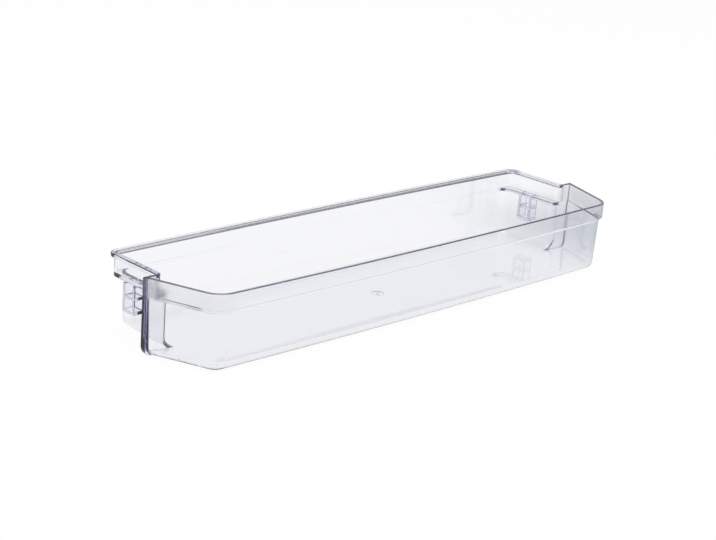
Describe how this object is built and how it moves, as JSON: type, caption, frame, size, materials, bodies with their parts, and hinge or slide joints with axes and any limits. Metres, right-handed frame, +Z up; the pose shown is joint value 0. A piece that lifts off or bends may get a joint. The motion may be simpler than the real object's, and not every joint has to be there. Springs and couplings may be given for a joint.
{
  "type": "fridge door shelf",
  "caption": "Clear moulded door shelf for a refrigerator: a long open tray with a bowed front, a stepped collar, a beaded back rim and a lug pocket at each end.",
  "frame": {"origin": "middle of the shelf's box at the underside of its floor", "axes": "+X along the length, -Y towards the room side with the bowed front, +Y towards the door, +Z up"},
  "size_m": [0.44, 0.1164, 0.056],
  "materials": {
    "clear_plastic": "clear polished plastic with a faint blue cast"
  },
  "bodies": {
    "root": {"door_shelf": "clear_plastic"}
  },
  "joints": []
}
